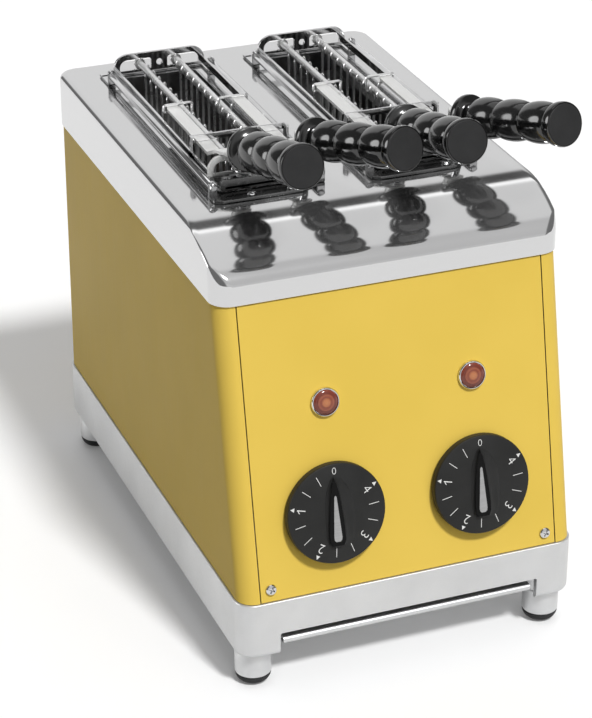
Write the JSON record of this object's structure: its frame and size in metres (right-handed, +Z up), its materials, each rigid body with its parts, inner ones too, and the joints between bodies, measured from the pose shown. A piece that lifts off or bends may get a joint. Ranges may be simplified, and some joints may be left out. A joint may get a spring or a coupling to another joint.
{
  "type": "sandwich toaster",
  "caption": "Upright countertop sandwich toaster with slots in a polished cover, lift-out spring tongs with wire grids, timer dials, pilot lamps and a crumb tray.",
  "frame": {"origin": "middle of the footprint of the whole part, on the surface that the feet stand on", "axes": "+Z up, -Y towards the user at the control panel, +X to the user's right"},
  "size_m": [0.2238, 0.3618, 0.3401],
  "materials": {
    "cast_aluminium": "satin",
    "rubber": "matte",
    "gold_panel": "satin gold anodised",
    "block_plastic": "matte",
    "mirror_steel": "mirror polished",
    "sheet_steel": "satin",
    "bright_steel": "bright",
    "lever_steel": "satin",
    "heater_sheath": "heat tinted",
    "lamp_lens": "translucent amber",
    "knob_plastic": "fine matte",
    "grip_plastic": "gloss black"
  },
  "bodies": {
    "housing": {"base_frame": "cast_aluminium", "foot_front_left": "cast_aluminium", "foot_pad_front_left": "rubber", "foot_front_right": "cast_aluminium", "foot_pad_front_right": "rubber", "foot_rear_left": "cast_aluminium", "foot_pad_rear_left": "rubber", "foot_rear_right": "cast_aluminium", "foot_pad_rear_right": "rubber", "side_panel_left": "gold_panel", "side_panel_right": "gold_panel", "back_panel": "gold_panel", "cable_gland": "rubber", "terminal_block": "block_plastic", "top_cover": "mirror_steel", "slot_collar_left": "sheet_steel", "slot_rails_left": "bright_steel", "slot_collar_right": "sheet_steel", "slot_rails_right": "bright_steel", "front_bulkhead": "sheet_steel", "rear_bulkhead": "sheet_steel", "heater_outer_left": "heater_sheath", "heater_inner_left": "heater_sheath", "heater_inner_right": "heater_sheath", "heater_outer_right": "heater_sheath", "front_panel": "gold_panel", "timer_body_left": "block_plastic", "lamp_bezel_left": "bright_steel", "lamp_lens_left": "lamp_lens", "panel_screw_left": "bright_steel", "timer_body_right": "block_plastic", "lamp_bezel_right": "bright_steel", "lamp_lens_right": "lamp_lens", "panel_screw_right": "bright_steel"},
    "crumb_drawer": {"crumb_tray": "sheet_steel"},
    "timer_dial_left": {"timer_knob_left": "knob_plastic", "timer_shaft_left": "bright_steel"},
    "timer_dial_right": {"timer_knob_right": "knob_plastic", "timer_shaft_right": "bright_steel"},
    "left_tong": {"left_tong_frame": "bright_steel", "left_tong_pin_left": "bright_steel", "left_tong_pin_right": "bright_steel", "left_tong_spring": "bright_steel"},
    "left_tong_handle_left": {"left_tong_lever_left": "lever_steel", "left_tong_grip_left": "grip_plastic"},
    "left_tong_rack_left": {"left_tong_grid_left": "bright_steel"},
    "left_tong_handle_right": {"left_tong_lever_right": "lever_steel", "left_tong_grip_right": "grip_plastic"},
    "left_tong_rack_right": {"left_tong_grid_right": "bright_steel"},
    "right_tong": {"right_tong_frame": "bright_steel", "right_tong_pin_left": "bright_steel", "right_tong_pin_right": "bright_steel", "right_tong_spring": "bright_steel"},
    "right_tong_handle_left": {"right_tong_lever_left": "lever_steel", "right_tong_grip_left": "grip_plastic"},
    "right_tong_rack_left": {"right_tong_grid_left": "bright_steel"},
    "right_tong_handle_right": {"right_tong_lever_right": "lever_steel", "right_tong_grip_right": "grip_plastic"},
    "right_tong_rack_right": {"right_tong_grid_right": "bright_steel"}
  },
  "joints": [
    {"name": "crumb_tray_slide", "type": "slide", "parent": "housing", "child": "crumb_drawer", "axis": [0, -1, 0], "range_m": [0, 0.28]},
    {"name": "timer_left_turn", "type": "hinge", "parent": "housing", "child": "timer_dial_left", "pos_m": [-0.04893, -0.16687, 0.10986], "axis": [0, 0.9784, -0.2067], "range_deg": [0, 300]},
    {"name": "timer_right_turn", "type": "hinge", "parent": "housing", "child": "timer_dial_right", "pos_m": [0.04507, -0.16687, 0.10986], "axis": [0, 0.9784, -0.2067], "range_deg": [0, 300]},
    {"name": "left_tong_lift", "type": "slide", "parent": "housing", "child": "left_tong", "axis": [0, 0, 1], "range_m": [0, 0.16]},
    {"name": "left_tong_handle_left_swing", "type": "hinge", "parent": "left_tong", "child": "left_tong_handle_left", "pos_m": [-0.06393, -0.05922, 0.2958], "axis": [0, 0, 1], "range_deg": [0, 4.58], "stiffness_Nm_per_rad": 3},
    {"name": "left_tong_rack_left_open", "type": "slide", "parent": "left_tong", "child": "left_tong_rack_left", "axis": [-1, 0, 0], "range_m": [0, 0.0081]},
    {"name": "left_tong_handle_right_swing", "type": "hinge", "parent": "left_tong", "child": "left_tong_handle_right", "pos_m": [-0.02493, -0.05922, 0.2958], "axis": [0, 0, -1], "range_deg": [0, 4.58]},
    {"name": "left_tong_rack_right_open", "type": "slide", "parent": "left_tong", "child": "left_tong_rack_right", "axis": [1, 0, 0], "range_m": [0, 0.0081]},
    {"name": "right_tong_lift", "type": "slide", "parent": "housing", "child": "right_tong", "axis": [0, 0, 1], "range_m": [0, 0.16]},
    {"name": "right_tong_handle_left_swing", "type": "hinge", "parent": "right_tong", "child": "right_tong_handle_left", "pos_m": [0.03607, -0.05922, 0.2958], "axis": [0, 0, 1], "range_deg": [0, 4.58], "stiffness_Nm_per_rad": 3},
    {"name": "right_tong_rack_left_open", "type": "slide", "parent": "right_tong", "child": "right_tong_rack_left", "axis": [-1, 0, 0], "range_m": [0, 0.0081]},
    {"name": "right_tong_handle_right_swing", "type": "hinge", "parent": "right_tong", "child": "right_tong_handle_right", "pos_m": [0.07507, -0.05922, 0.2958], "axis": [0, 0, -1], "range_deg": [0, 4.58]},
    {"name": "right_tong_rack_right_open", "type": "slide", "parent": "right_tong", "child": "right_tong_rack_right", "axis": [1, 0, 0], "range_m": [0, 0.0081]}
  ],
  "couplings": [
    {"joint": "left_tong_handle_right_swing", "follows": "left_tong_handle_left_swing", "ratio": 1},
    {"joint": "left_tong_rack_left_open", "follows": "left_tong_handle_left_swing", "m_per_rad": 0.1},
    {"joint": "left_tong_rack_right_open", "follows": "left_tong_handle_left_swing", "m_per_rad": 0.1},
    {"joint": "right_tong_handle_right_swing", "follows": "right_tong_handle_left_swing", "ratio": 1},
    {"joint": "right_tong_rack_left_open", "follows": "right_tong_handle_left_swing", "m_per_rad": 0.1},
    {"joint": "right_tong_rack_right_open", "follows": "right_tong_handle_left_swing", "m_per_rad": 0.1}
  ]
}
